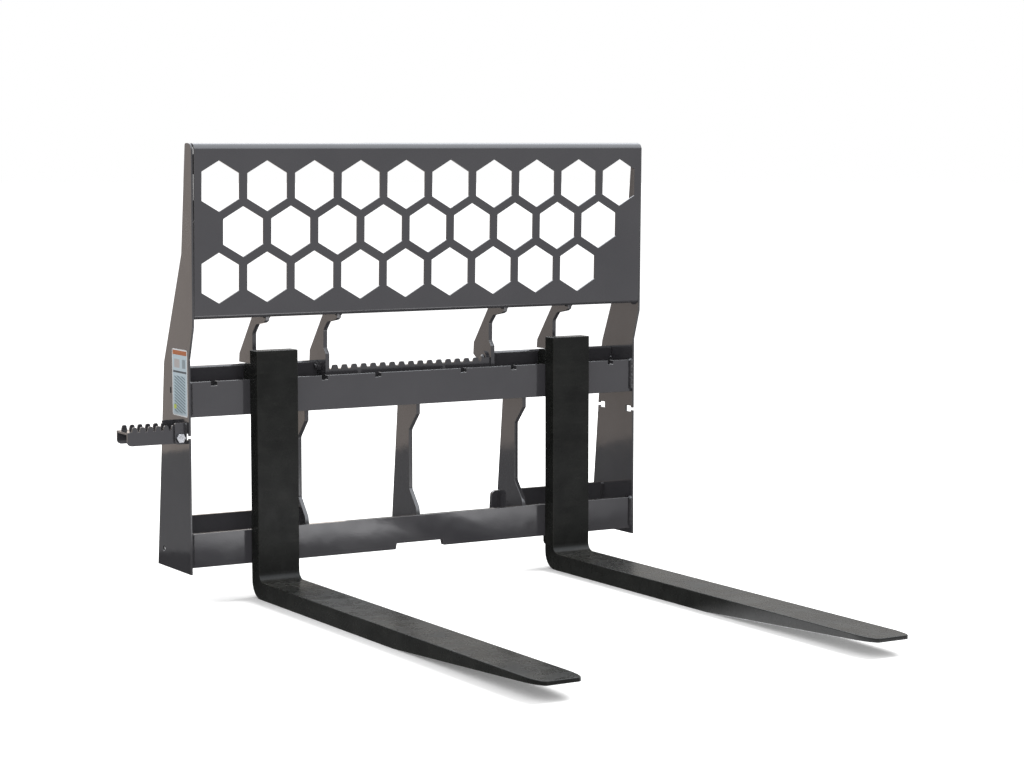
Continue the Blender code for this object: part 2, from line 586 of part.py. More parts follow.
def bottom_hook(side, sign):
    x, half = sign * FORK_X, BOTTOM_HOOK_HALF
    seat, leg_front = LOWER_BAR_Z[0] - CLEAR, BAR_THICK + 0.0012
    face = SHANK_BACK + GAP
    profile = [(face, 0.0525), (HOOK_BACK - 0.006, 0.0525), (HOOK_BACK, 0.0585), (HOOK_BACK, 0.0970),
               (HOOK_BACK - 0.003, 0.1000), (leg_front, 0.1000), (leg_front, seat), (face, seat)]
    finish_object(f"{side}_fork_bottom_hook", prism(profile, x - half, x + half, "X"), FORK_BLACK,
                  origin=(x, 0.0, UPPER_BAR_Z[1]))


def lock(side, sign):
    """A pin that a spring pushes down into a notch of the upper bar, drawn in its raised place."""
    x = sign * FORK_X
    origin = (x, PIN_Y, UPPER_BAR_Z[1])
    tip, collar = 0.4968, 0.5040
    stem_top = 0.5470
    pin = [(0.0, tip), (PIN_RADIUS - 0.0015, tip), (PIN_RADIUS, tip + 0.0015), (PIN_RADIUS, collar),
           (STEM_RADIUS, collar), (STEM_RADIUS, stem_top), (0.0, stem_top)]
    finish_object(f"{side}_lock_pin", turned(pin, (x, PIN_Y, 0.0)), ZINC, origin, 40)

    plug = [(STEM_RADIUS + 0.0004, PLUG_BOTTOM), (0.0083, PLUG_BOTTOM), (0.0083, HOOK_TOP),
            (STEM_RADIUS + 0.0004, HOOK_TOP)]
    finish_object(f"{side}_spring_plug", ring_solid(plug, (x, PIN_Y, 0.0), 24), ZINC, origin, 40)

    handle_z, bar_radius, reach = 0.5470, 0.0045, 0.030
    grip = [(0.0, -reach), (bar_radius * 0.7, -reach), (bar_radius, -reach + 0.0015),
            (bar_radius, reach - 0.0015), (bar_radius * 0.7, reach), (0.0, reach)]
    boss_low = HOOK_TOP + PIN_TRAVEL + 0.0004
    boss = [(0.0, boss_low), (0.0078, boss_low), (0.0078, 0.5515), (0.0068, 0.5525), (0.0, 0.5525)]
    socket_radius, socket_top = STEM_RADIUS + GAP, stem_top + GAP
    socket = [(0.0, 0.50), (socket_radius, 0.50), (socket_radius, socket_top), (0.0, socket_top)]
    body = combine("UNION", turned(boss, (x, PIN_Y, 0.0)), turned(grip, (x, PIN_Y, handle_z), "X", 16))
    finish_object(f"{side}_lock_handle", combine("DIFFERENCE", body, turned(socket, (x, PIN_Y, 0.0))),
                  ZINC, origin, 40)

    coil_low, coil_high = collar + 0.0008, PLUG_BOTTOM - 0.0008
    spring(f"{side}_lock_spring", (x, PIN_Y), coil_low, coil_high, origin)


def ring_solid(section, centre, sides):
    """A turned solid with a hole through it, from a closed section of (radius, height) points."""
    bm = bmesh.new()
    loops = []
    for i in range(sides):
        a = 2 * pi * i / sides
        loops.append([bm.verts.new((r * cos(a), r * sin(a), h)) for r, h in section])
    for i in range(sides):
        bridge(bm, loops[i], loops[(i + 1) % sides])
    bmesh.ops.translate(bm, verts=bm.verts, vec=centre)
    return bm


def spring(name, centre, low, high, origin):
    turns, steps, sides = 4.5, 16, 6
    wire, mean = 0.0008, 0.0058
    total = int(turns * steps)
    bm = bmesh.new()
    rings = []
    x, y = centre
    for i in range(total + 1):
        a = 2 * pi * i / steps
        mid_z = low + wire + (high - low - 2 * wire) * i / total
        ring = []
        for j in range(sides):
            b = 2 * pi * j / sides
            r = mean + wire * cos(b)
            ring.append(bm.verts.new((x + r * cos(a), y + r * sin(a), mid_z + wire * sin(b))))
        rings.append(ring)
    for ring, following in zip(rings, rings[1:]):
        bridge(bm, ring, following)
    bm.faces.new(rings[0])
    bm.faces.new(rings[-1])
    finish_object(name, bm, SPRING_STEEL, origin, 40)


def main():
    clear_scene()
    side_plates()
    backrest_panel()
    fork_bars()
    backrest_uprights()
    lower_uprights()
    attach_hooks()
    attach_plates()
    centre_step()
    upright_bolt_holes()
    side_step()
    for side, sign in (("left", -1), ("right", 1)):
        fork(side, sign)
        top_hook(side, sign)
        bottom_hook(side, sign)
        lock(side, sign)

    root = bpy.data.objects.new("carriage_origin", None)
    bpy.context.scene.collection.objects.link(root)
    for obj in bpy.context.scene.objects:
        if obj.type == "MESH":
            obj.parent = root
    root.location = (0.0, -BAR_THICK / 2, -UPPER_BAR_Z[1])


main()
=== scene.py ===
"""Looks for the pallet fork attachment: satin charcoal paint, black forks, zinc fasteners, weld beads and a
plain decal, in a white studio.

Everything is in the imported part's frame: metres, +Z up, the forks point along -Y, and the origin is the
middle of the upper fork bar's top edge."""

from math import cos, hypot, pi, radians, sin

import bmesh
import bpy
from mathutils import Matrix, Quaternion, Vector, noise


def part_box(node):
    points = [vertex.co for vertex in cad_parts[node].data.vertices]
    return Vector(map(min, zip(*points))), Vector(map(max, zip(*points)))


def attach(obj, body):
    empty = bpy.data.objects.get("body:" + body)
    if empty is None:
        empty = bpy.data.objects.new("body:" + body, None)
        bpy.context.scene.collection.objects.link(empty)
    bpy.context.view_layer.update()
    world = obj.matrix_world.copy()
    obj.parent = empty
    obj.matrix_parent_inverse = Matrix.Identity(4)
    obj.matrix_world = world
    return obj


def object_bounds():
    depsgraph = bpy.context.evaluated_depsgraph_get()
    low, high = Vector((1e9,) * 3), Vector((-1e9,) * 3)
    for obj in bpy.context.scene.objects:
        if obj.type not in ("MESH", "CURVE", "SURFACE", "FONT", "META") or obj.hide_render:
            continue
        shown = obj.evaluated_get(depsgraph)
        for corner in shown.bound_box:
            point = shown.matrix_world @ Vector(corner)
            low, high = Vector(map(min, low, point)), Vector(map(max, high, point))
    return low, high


# ---------------------------------------------------------------- view
VIEW_TARGET = Vector((0.1679, -0.1396, -0.0294))
VIEW_DISTANCE = 5.8
VIEW_AZIMUTH, VIEW_ELEVATION = -30.648, 5.507
LENS, SENSOR = 87.636, 36.0

# ---------------------------------------------------------------- sizes that the looks share with the part
PANEL_LEAN = 0.026            # the backrest's forward lean, per metre of height
PANEL_THICK = 0.0055
PANEL_FLANGE = 0.030          # depth of the backrest's lower flange
COUPLER_LEAN = 0.1101         # the coupler plates' rearward lean, per metre down
COUPLER_THICK = 0.010
WEB_DEPTH = COUPLER_THICK * hypot(1, COUPLER_LEAN)     # the same thickness, measured level

# ---------------------------------------------------------------- dressing of the CAD nodes
EDGE_ROUND = {"frame_paint": 0.0010, "fork_steel": 0.0018, "zinc": 0.0006, "spring_steel": 0.0}
MERGE_DISTANCE = 0.00001
FLAT_ANGLE = radians(0.4)     # facets that meet flatter than this are joined
EDGE_ANGLE = radians(32)      # and those that meet sharper than this get a rounded edge
SMOOTH_ANGLE = radians(50)    # the sharpest smooth edge of the new pieces

# ---------------------------------------------------------------- weld beads
BEAD_STEP = 0.0010            # spacing of a bead's rings
BEAD_SIDES = 6                # facets across its face
BEAD_ROOT = 0.0002            # how far its root sinks into the corner
RIPPLE_PITCH = 0.0040
BAR_LEG = 0.0075              # leg lengths of the beads, named after what they hold
WALL_LEG = 0.0050             # the coupler's parts and the panel's flanges, on the side plates
STITCH_LEG = 0.0045           # the panel's back on the side plates, and the uprights on bars and coupler
HEAD_LEG = 0.0042             # the uprights' heads under the panel
EAR_LEG = 0.0035
HOOK_TOP_LEG, HOOK_FOOT_LEG, HOOK_SIDE_LEG = 0.0065, 0.0060, 0.0055
BEAD_INSET = 0.001            # a bead starts this far inside the end of its corner
BAR_LIFT = 0.003              # how far the bars' beads sit high, and the lower plates' run over the top
HOOK_INSET = 0.003            # space at both ends of the top hook's beads
SEAT_SPACE = 0.002            # left between the bottom hook's side beads and the lower bar
STITCH_PLACES, STITCH_LENGTH = (0.12, 0.38, 0.62, 0.88), 0.044
LOWER_FLANGE_BEAD = (0.010, PANEL_FLANGE)              # start and end, behind the panel's face
UPPER_FLANGE_BEAD = (0.012, 0.038)
FOOT_SPACE, HEAD_SPACE = 0.008, 0.005                  # under and over the lower uprights' lower beads
BACKREST_FOOT = 0.035         # height of the backrest uprights' lower beads
LIP_SPACE, LIP_WALL_SPACE = 0.018, 0.025               # left for the bend of the coupler's upper lip
LEDGE_SPACE, LEDGE_WALL_SPACE = 0.030, 0.022           # left for the ledge of its lower plate

# ---------------------------------------------------------------- label
DECAL_SIZE = (0.084, 0.150)   # depth, height
DECAL_HEADER = 0.013
DECAL_THICK = 0.00025
DECAL_CORNER, DECAL_CORNER_STEPS = 0.006, 5

# ---------------------------------------------------------------- colours, linear
CHARCOAL_DARK, CHARCOAL_LIGHT = (0.0295, 0.0288, 0.0318), (0.0380, 0.0370, 0.0398)
# the first colour on the next line is lighter paint for rounded edges: a thin coat, and a painted edge
# highlight
# the second colour on the next line lightens faces that look up: a little dust, and painted top light
CHARCOAL_EDGE_HIGHLIGHT, CHARCOAL_DUST_AND_TOP_LIGHT = (0.066, 0.065, 0.066), (0.10, 0.10, 0.10)
# the last colour on the next line lightens scuffs and faces that look up: pale dust, and painted top light on
# the blade
FORK_DARK, FORK_LIGHT, FORK_DUST_AND_TOP_LIGHT = (0.0078, 0.0082, 0.0075), (0.0140, 0.0146, 0.0134), (0.040, 0.039, 0.034)
# lighter paint for the forks' rounded edges: a thin coat, and a painted edge highlight
FORK_EDGE_HIGHLIGHT = (0.022, 0.022, 0.020)
ZINC_LIGHT, ZINC_DARK = (0.52, 0.53, 0.55), (0.28, 0.28, 0.28)
SPRING_DARK, SPRING_LIGHT = (0.22, 0.21, 0.20), (0.42, 0.42, 0.43)
DECAL_BODY, DECAL_FADED, DECAL_MARGIN = (0.46, 0.55, 0.60), (0.60, 0.66, 0.70), (0.68, 0.69, 0.70)
DECAL_BAND, DECAL_BROWN, DECAL_GREEN = (0.43, 0.16, 0.08), (0.42, 0.30, 0.25), (0.50, 0.58, 0.08)
DECAL_GREY, DECAL_HATCH = (0.12, 0.13, 0.14), (0.17, 0.23, 0.26)
WHITE, BLACK = (1.0, 1.0, 1.0), (0.0, 0.0, 0.0)

# ---------------------------------------------------------------- studio
FLOOR_RADIUS, GROUND_RADIUS, WALL_RADIUS = 60.0, 25.0, 26.0
GROUND_LIFT = 0.0002          # keeps the reflected ground off the paper
PAPER_TONE = (0.90, 0.90, 0.90)
PAPER_CENTRE = (0.0, -0.4)    # the paper glows less round this point, so that shadows show there
PAPER_REACH, PAPER_GLOW = (1.1, 2.8), (0.16, 0.34)
FLOOR_LIGHT_PLACE, FLOOR_LIGHT_SIZE, FLOOR_LIGHT_POWER = (3.2, -0.3, 3.2), (2.4, 2.4), 270.0

GROUND_SPOT, SPOT_REACH = (0.32, -1.05), (0.30, 0.80)
SPOT_GLOW, GROUND_GLOW = (4.4, 4.4, 4.5), (0.98, 0.98, 1.02)
GROUND_DIM, GROUND_BEHIND = (0.30, 0.30, 0.30), (0.03, 0.03, 0.03)
FRONT_RISE, RIGHT_RISE, BEHIND_RISE = (-0.60, -0.80), (-0.45, -0.15), (-0.3, 0.3)

# The level direction that faces looking left mirror to the camera.
LEFT_BACK = Vector((sin(radians(VIEW_AZIMUTH)), cos(radians(VIEW_AZIMUTH)), 0.0))
WALL_GLOW, WALL_FRONT_GLOW = (0.50, 0.475, 0.45), (0.92, 0.93, 0.96)
WALL_DARK, WALL_OVERHEAD = (0.03, 0.03, 0.03), (4.6, 4.8, 5.1)
DARK_COSINES, FRONT_COSINES = (0.55, 0.92), (-0.2, -0.85)      # of the angle from LEFT_BACK
OVERHEAD_SINES = (0.28, 0.60)                          # of the angle above the horizon

SOFTBOX_DISTANCE, SOFTBOX_WIDTH, SOFTBOX_ROLL = 1.0, 2.4, radians(8.0)
SOFTBOX_EDGE = 0.200          # height above the floor of the edge where the two panels meet
SOFTBOXES = (("softbox", 1.8, 13.7, (1.0, 0.87, 0.78)),        # reach over the edge, power and colour
             ("low_reflector", -0.6, 1.30, (1.0, 1.0, 1.02)))
FILL_PLACE, FILL_SIZE, FILL_POWER, FILL_COLOUR = (-1.2, -3.0, 0.4), (2.0, 1.2), 45.0, (1.0, 1.0, 1.04)

UP, DOWN, FORE, AFT = Vector((0, 0, 1)), Vector((0, 0, -1)), Vector((0, -1, 0)), Vector((0, 1, 0))


# ---------------------------------------------------------------- materials
class Graph:
    """A material and a short way of adding nodes to it."""

    def __init__(self, name):
        self.material = bpy.data.materials.new(name)
        self.material.use_nodes = True
        self.tree = self.material.node_tree
        self.shader = self.tree.nodes["Principled BSDF"]
        self.place = self.add("ShaderNodeTexCoord").outputs["Object"]

    def add(self, kind, inputs=(), **settings):
        """A new node with its settings, its inputs linked or set."""
        node = self.tree.nodes.new(kind)
        for key, value in settings.items():
            setattr(node, key, value)
        for key, value in dict(inputs).items():
            self.feed(node.inputs[key], value)
        return node

    def feed(self, socket, value):
        if isinstance(value, bpy.types.NodeSocket):
            self.tree.links.new(value, socket)
        else:
            socket.default_value = value

    def set(self, **sockets):
        """Sets or links the shader's own sockets, named with underscores for spaces."""
        for name, value in sockets.items():
            if isinstance(value, tuple) and len(value) == 3:
                value = (*value, 1.0)
            self.feed(self.shader.inputs[name.replace("_", " ")], value)

    def noise(self, scale, detail=3.0, rough=0.55, stretch=None):
        place = self.place
        if stretch:
            place = self.add("ShaderNodeMapping", {"Vector": place, "Scale": stretch}).outputs[0]
        inputs = {"Vector": place, "Scale": scale, "Detail": detail, "Roughness": rough}
        return self.add("ShaderNodeTexNoise", inputs).outputs["Fac"]

    def range(self, value, low, high, new_low=0.0, new_high=1.0):
        """Carries a value from one range to another and holds it at the ends."""
        inputs = {"Value": value, "From Min": low, "From Max": high, "To Min": new_low, "To Max": new_high}
        return self.add("ShaderNodeMapRange", inputs).outputs["Result"]

    def math(self, operation, a, b=0.0):
        return self.add("ShaderNodeMath", {0: a, 1: b}, operation=operation).outputs[0]

    def mix(self, share, a, b):
        node = self.add("ShaderNodeMix", data_type="RGBA")
        for socket, value in zip((node.inputs[0], node.inputs[6], node.inputs[7]), (share, a, b)):
            self.feed(socket, (*value, 1.0) if isinstance(value, tuple) else value)
        return node.outputs[2]

    def bump(self, height, depth, below=None):
        inputs = {"Height": height, "Distance": depth, "Strength": 1.0}
        if below is not None:
            inputs["Normal"] = below
        return self.add("ShaderNodeBump", inputs).outputs["Normal"]

    def axis(self, letter):
        return self.add("ShaderNodeSeparateXYZ", {0: self.place}).outputs[letter]

    def facing_up(self):
        """1 on faces that look up, 0 on upright ones and -1 underneath."""
        normal = self.add("ShaderNodeNewGeometry").outputs["Normal"]
        return self.add("ShaderNodeSeparateXYZ", {0: normal}).outputs["Z"]

    def between(self, value, low, high):
        """1 where a value lies between two limits, else 0."""
        above = self.math("GREATER_THAN", value, low)
        return self.math("MULTIPLY", above, self.math("LESS_THAN", value, high))


def frame_paint(name, dark, light):
    """Charcoal powder coat: faint clouds of tone, orange peel, and a little dust with painted top light on
    faces that look up, which makes them lighter.
    """
    g = Graph(name)
    clouds = g.range(g.noise(5.0, 4.0), 0.3, 0.7)
    tone = g.mix(clouds, dark, light)
    speck = g.range(g.noise(900.0, 1.0), 0.69, 0.76, 0.0, 0.16)
    tone = g.mix(speck, tone, tuple(c * 1.8 for c in light))
    # faces that look up are made lighter: a little dust, and painted top light
    dust_and_top_light = g.math("MULTIPLY", g.range(g.facing_up(), 0.6, 1.0, 0.0, 0.22), g.range(g.noise(40.0), 0.35, 0.7))
    g.set(Base_Color=g.mix(dust_and_top_light, tone, CHARCOAL_DUST_AND_TOP_LIGHT))
    g.set(Roughness=g.range(g.noise(26.0, 5.0), 0.3, 0.7, 0.07, 0.13))
    peel = g.bump(g.noise(330.0, 2.0, 0.4), 0.00004)
    g.set(Normal=g.bump(g.noise(14.0, 2.0, 0.4), 0.0005, peel), Specular_IOR_Level=0.5)
    return g.material


def fork_paint(name, dark, light):
    """Thin black paint on rolled steel: mill texture, long faint scuffs, and pale dust with painted top light
    on faces that look up, such as the top of the blade.
    """
    g = Graph(name)
    tone = g.mix(g.range(g.noise(18.0, 3.0, 0.5), 0.32, 0.68), dark, light)
    scuffs = g.range(g.noise(34.0, 4.0, 0.6, stretch=(0.5, 0.5, 2.6)), 0.52, 0.78, 0.0, 0.16)
    tone = g.mix(scuffs, tone, FORK_DUST_AND_TOP_LIGHT)
    # faces that look up, such as the blade's top, are made much lighter: pale dust, and painted top light
    dust_and_top_light = g.range(g.facing_up(), 0.5, 1.0, 0.0, 0.8)
    dust_and_top_light = g.math("MULTIPLY", dust_and_top_light, g.range(g.noise(7.0, 3.0), 0.30, 0.70))
    g.set(Base_Color=g.mix(dust_and_top_light, tone, FORK_DUST_AND_TOP_LIGHT))
    g.set(Roughness=g.range(g.noise(30.0, 3.0, 0.5), 0.3, 0.7, 0.22, 0.32))
    grain = g.bump(g.noise(520.0, 2.0, 0.5), 0.00001)
    mill = g.bump(g.noise(45.0, 2.0, 0.5, stretch=(0.6, 1.0, 2.2)), 0.00005, grain)
    g.set(Normal=mill, Specular_IOR_Level=0.11)
    return g.material


def bare_metal(name, dark, light, rough, grain):
    """Zinc plate or spring steel: bright metal with cloudy patches and a fine grain."""
    g = Graph(name)
    g.set(Base_Color=g.mix(g.range(g.noise(180.0, 4.0), 0.3, 0.65), dark, light), Metallic=1.0)
    g.set(Roughness=g.range(g.noise(300.0, 3.0), 0.3, 0.7, rough - 0.06, rough + 0.08))
    g.set(Normal=g.bump(g.noise(grain, 2.0), 0.00006))
    return g.material


def decal_print(name, low, high):
    """A generic printed label: a band, two plain blocks, a rule, hatching and a coloured square. Their places
    are shares of its width and height."""
    g = Graph(name)
    across = g.range(g.axis("Y"), low.y, high.y)
    up = g.range(g.axis("Z"), low.z, high.z)
    height = high.z - low.z
    fade = g.range(g.noise(160.0, 3.0), 0.3, 0.8, 0.0, 0.30)
    body = g.mix(fade, DECAL_BODY, DECAL_FADED)
    slant = g.math("ADD", g.math("MULTIPLY", across, 0.30 * DECAL_SIZE[0]), g.math("MULTIPLY", up, -height))
    stripes = g.math("GREATER_THAN", g.math("SINE", g.math("MULTIPLY", slant, 2 * pi / 0.0068)), -0.1)
    hatch = g.math("MULTIPLY", g.between(across, 0.14, 0.86), g.between(up, 0.05, 0.60))
    colour = g.mix(g.math("MULTIPLY", stripes, hatch), body, DECAL_HATCH)
    for left, right, ink in ((0.12, 0.34, DECAL_GREY), (0.50, 0.86, DECAL_BROWN)):
        block = g.math("MULTIPLY", g.between(across, left, right), g.between(up, 0.72, 0.85))
        colour = g.mix(g.math("MULTIPLY", block, 0.55), colour, ink)
    rule = g.math("MULTIPLY", g.between(across, 0.06, 0.94), g.between(up, 0.645, 0.675))
    colour = g.mix(rule, colour, DECAL_GREY)
    square = g.math("MULTIPLY", g.between(across, 0.74, 0.90), g.between(up, 0.10, 0.165))
    colour = g.mix(square, colour, DECAL_GREEN)
    colour = g.mix(g.math("GREATER_THAN", up, 1.0 - DECAL_HEADER / height), colour, DECAL_BAND)
    inside = g.math("MULTIPLY", g.between(across, 0.035, 0.965), g.between(up, 0.02, 0.98))
    colour = g.mix(inside, DECAL_MARGIN, colour)
    g.set(Base_Color=colour, Roughness=g.range(g.noise(90.0), 0.3, 0.7, 0.28, 0.40))
    g.set(Normal=g.bump(g.noise(60.0, 2.0), 0.00015))
    return g.material


def materials():
    """Each slot's material for flat faces and for rounded edges, where the coat is thin; the edge paint is
    lighter, for the thin coat and as a painted edge highlight.
    """
    zinc = bare_metal("zinc", ZINC_DARK, ZINC_LIGHT, 0.26, 2200.0)
    spring = bare_metal("spring_steel", SPRING_DARK, SPRING_LIGHT, 0.32, 1500.0)
    return {"frame_paint": (frame_paint("frame_paint", CHARCOAL_DARK, CHARCOAL_LIGHT),
                            frame_paint("frame_paint_edge_highlight", CHARCOAL_LIGHT, CHARCOAL_EDGE_HIGHLIGHT)),
            "fork_steel": (fork_paint("fork_paint", FORK_DARK, FORK_LIGHT),
                           fork_paint("fork_paint_edge_highlight", FORK_LIGHT, FORK_EDGE_HIGHLIGHT)),
            "zinc": (zinc, zinc), "spring_steel": (spring, spring)}


# ---------------------------------------------------------------- CAD nodes
def slot_of(node):
    """The slot of a CAD node's finish."""
    if node.endswith("lock_spring"):
        return "spring_steel"
    if node.startswith(("side_step_bolt", "side_step_nut")) or "_lock_" in node or "_plug" in node:
        return "zinc"
    if node.startswith(("left_fork", "right_fork")):
        return "fork_steel"
    return "frame_paint"


def dress_node(name, obj, finishes):
    """Gives a CAD node its finish and small edge radii, by modifiers only."""
    slot = slot_of(name)
    face, edge = finishes[slot]
    obj.data.shade_smooth()
    obj.material_slots[0].material = face
    weld = obj.modifiers.new("weld", "WELD")
    weld.merge_threshold = MERGE_DISTANCE
    width = EDGE_ROUND[slot]
    if width:
        obj.data.materials.append(edge)
        flatten = obj.modifiers.new("flatten", "DECIMATE")
        flatten.decimate_type = "DISSOLVE"
        flatten.angle_limit = FLAT_ANGLE
        bevel = obj.modifiers.new("edges", "BEVEL")
        bevel.width = width
        bevel.segments = 2
        bevel.limit_method = "ANGLE"
        bevel.angle_limit = EDGE_ANGLE
        # the rounded edges take the lighter edge paint: a thin coat, and a painted edge highlight
        bevel.material = 1
        bevel.use_clamp_overlap = True
    normals = obj.modifiers.new("normals", "WEIGHTED_NORMAL")
    normals.weight = 60


# ---------------------------------------------------------------- new pieces
def make_piece(name, bm, material, body):
    """A new piece that rides on a body."""
    bmesh.ops.recalc_face_normals(bm, faces=bm.faces)
    mesh = bpy.data.meshes.new(name)
    bm.to_mesh(mesh)
    bm.free()
    mesh.shade_smooth()
    mesh.set_sharp_from_angle(angle=SMOOTH_ANGLE)
    mesh.materials.append(material)
    obj = bpy.data.objects.new(name, mesh)
    bpy.context.scene.collection.objects.link(obj)
    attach(obj, body)
    return obj


def add_bead(bm, start, end, across, up, leg):
    """A rippled fillet weld along a corner. across and up point away from the corner along its two faces."""
    length = (end - start).length
    along = (end - start) / length
    out = (across + up).normalized()
    rings = []
    count = max(5, round(length / BEAD_STEP))
    for i in range(count + 1):
        s = length * i / count
        taper = min(1.0, 0.35 + s / leg, 0.35 + (length - s) / leg)
        size = leg * taper * (1 + 0.12 * noise.noise(start * 20 + along * s * 120))
        middle = start + along * s
        ring = [bm.verts.new(middle - out * BEAD_ROOT)]
        for k in range(BEAD_SIDES + 1):
            f = k / BEAD_SIDES
            arch = 4 * f * (1 - f)
            crest = abs(cos(pi * (s / RIPPLE_PITCH + 0.45 * arch)))
            bulge = size * arch * (0.10 + 0.09 * crest)
            ring.append(bm.verts.new(middle + (across * (1 - f) + up * f) * size + out * bulge))
        rings.append(ring)
    for ring, following in zip(rings, rings[1:]):
        for i in range(len(ring)):
            bm.faces.new((ring[i - 1], ring[i], following[i], following[i - 1]))
    bm.faces.new(rings[0])
    bm.faces.new(rings[-1])


def at(x, y, z):
    return Vector((x, y, z))


def side_walls():
    """The inner face of each side plate, and the way from it to the middle."""
    return ((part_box("left_side_plate")[1].x, Vector((1, 0, 0))),
            (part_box("right_side_plate")[0].x, Vector((-1, 0, 0))))


def both_sides(low, high):
    """The two side faces of a box, each with the way that it looks."""
    return (low.x, Vector((-1, 0, 0))), (high.x, Vector((1, 0, 0)))


def bar_welds():
    """Both ends of both fork bars, in front and behind."""
    lines = []
    for wall, inward in side_walls():
        for bar in ("upper_fork_bar", "lower_fork_bar"):
            low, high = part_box(bar)
            for y, way in ((low.y, FORE), (high.y, AFT)):
                lines.append((at(wall, y, low.z + BAR_LIFT), at(wall, y, high.z + BAR_LIFT),
                              inward, way, BAR_LEG))
    return lines


def backrest_welds():
    """Stitches behind the panel's ends, its flanges' ends, and the heads of the uprights under it."""
    low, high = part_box("backrest_panel")

    def front(z):
        return low.y + (high.z - z) * PANEL_LEAN

    lines = []
    for wall, inward in side_walls():
        for middle in STITCH_PLACES:
            z0 = low.z + (high.z - low.z) * middle - STITCH_LENGTH / 2
            z1 = z0 + STITCH_LENGTH
            lines.append((at(wall, front(z0) + PANEL_THICK, z0), at(wall, front(z1) + PANEL_THICK, z1),
                          inward, AFT, STITCH_LEG))
        for z, (first, last) in ((low.z, LOWER_FLANGE_BEAD), (high.z - PANEL_THICK, UPPER_FLANGE_BEAD)):
            lines.append((at(wall, front(z) + first, z), at(wall, front(z) + last, z),
                          inward, DOWN, WALL_LEG))
    flange_back = front(low.z) + PANEL_FLANGE
    for node in sorted(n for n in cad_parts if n.startswith("backrest_upright")):
        first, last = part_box(node)
        for x, away in both_sides(first, last):
            lines.append((at(x, first.y + BEAD_INSET, low.z), at(x, flange_back, low.z),
                          away, DOWN, HEAD_LEG))
    return lines


def upright_welds():
    """Uprights on the backs of the bars and on the coupler's parts, then those parts on the side plates."""
    upper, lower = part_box("upper_fork_bar"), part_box("lower_fork_bar")
    hook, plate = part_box("left_attach_hook"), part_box("left_attach_plate")

    def web(part, x, z, depth=0.0):
        """A point on the front of a leaning coupler part, or deeper in it."""
        return at(x, part[0].y + (part[1].z - z) * COUPLER_LEAN + depth, z)

    lines = []
    for node in sorted(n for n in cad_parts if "_upright_" in n):
        low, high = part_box(node)
        is_lower = node.startswith("lower")
        if is_lower:
            bars = [(upper, upper[0].z + BEAD_INSET, high.z),
                    (lower, low.z + FOOT_SPACE, lower[1].z - HEAD_SPACE)]
        else:
            bars = [(upper, low.z + BEAD_INSET, low.z + BACKREST_FOOT)]
        for x, away in both_sides(low, high):
            for bar, z0, z1 in bars:
                lines.append((at(x, bar[1].y, z0), at(x, bar[1].y, z1), away, AFT, STITCH_LEG))
            webs = []
            if abs(low.x) > abs(hook[1].x):
                webs.append((hook, max(low.z, hook[0].z) + BEAD_INSET, min(high.z, hook[1].z - LIP_SPACE)))
            if is_lower and abs(low.x) > abs(plate[1].x):
                webs.append((plate, plate[0].z + LEDGE_SPACE, plate[1].z + BAR_LIFT))
            for part, z0, z1 in webs:
                lines.append((web(part, x, z0), web(part, x, z1), away, FORE, STITCH_LEG))
    for wall, inward in side_walls():
        for part, z0, z1 in ((hook, hook[0].z, hook[1].z - LIP_WALL_SPACE),
                             (plate, plate[0].z + LEDGE_WALL_SPACE, plate[1].z)):
            for depth, way in ((0.0, FORE), (WEB_DEPTH, AFT)):
                lines.append((web(part, wall, z0, depth), web(part, wall, z1, depth), inward, way, WALL_LEG))
    return lines


def step_welds():
    """The side step's ears on the left plate."""
    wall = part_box("left_side_plate")[0].x
    outward = Vector((-1, 0, 0))
    lines = []
    for ear, face, way in (("front", 0, FORE), ("rear", 1, AFT)):
        low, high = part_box(f"side_step_ear_{ear}")
        y = (low.y, high.y)[face]
        lines.append((at(wall, y, low.z + BEAD_INSET), at(wall, y, high.z - BEAD_INSET),
                      outward, way, EAR_LEG))
    return lines


def fork_welds(side):
    """A fork's hooks on the back of its shank. The top one's bead leaves room for the lock's handle."""
    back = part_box(f"{side}_fork")[1].y
    low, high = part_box(f"{side}_fork_top_hook")
    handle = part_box(f"{side}_lock_handle")
    lines = []
    for x0, x1 in ((low.x, handle[0].x), (handle[1].x, high.x)):
        lines.append((at(x0 + HOOK_INSET, back, high.z), at(x1 - HOOK_INSET, back, high.z),
                      AFT, UP, HOOK_TOP_LEG))
    low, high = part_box(f"{side}_fork_bottom_hook")
    lines.append((at(low.x, back, low.z), at(high.x, back, low.z), AFT, DOWN, HOOK_FOOT_LEG))
    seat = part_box("lower_fork_bar")[0].z - SEAT_SPACE
    for x, away in both_sides(low, high):
        lines.append((at(x, back, low.z), at(x, back, seat), away, AFT, HOOK_SIDE_LEG))
    return lines


def weld_beads(finishes):
    """One piece for each group of beads, painted like what it holds."""
    groups = {"bar_weld_beads": (bar_welds(), "carriage", "frame_paint"),
              "backrest_weld_beads": (backrest_welds(), "carriage", "frame_paint"),
              "upright_weld_beads": (upright_welds(), "carriage", "frame_paint"),
              "step_weld_beads": (step_welds(), "carriage", "frame_paint"),
              "left_fork_weld_beads": (fork_welds("left"), "left_fork_unit", "fork_steel"),
              "right_fork_weld_beads": (fork_welds("right"), "right_fork_unit", "fork_steel")}
    for name, (lines, body, slot) in groups.items():
        bm = bmesh.new()
        for line in lines:
            add_bead(bm, *line)
        make_piece(name, bm, finishes[slot][0], body)


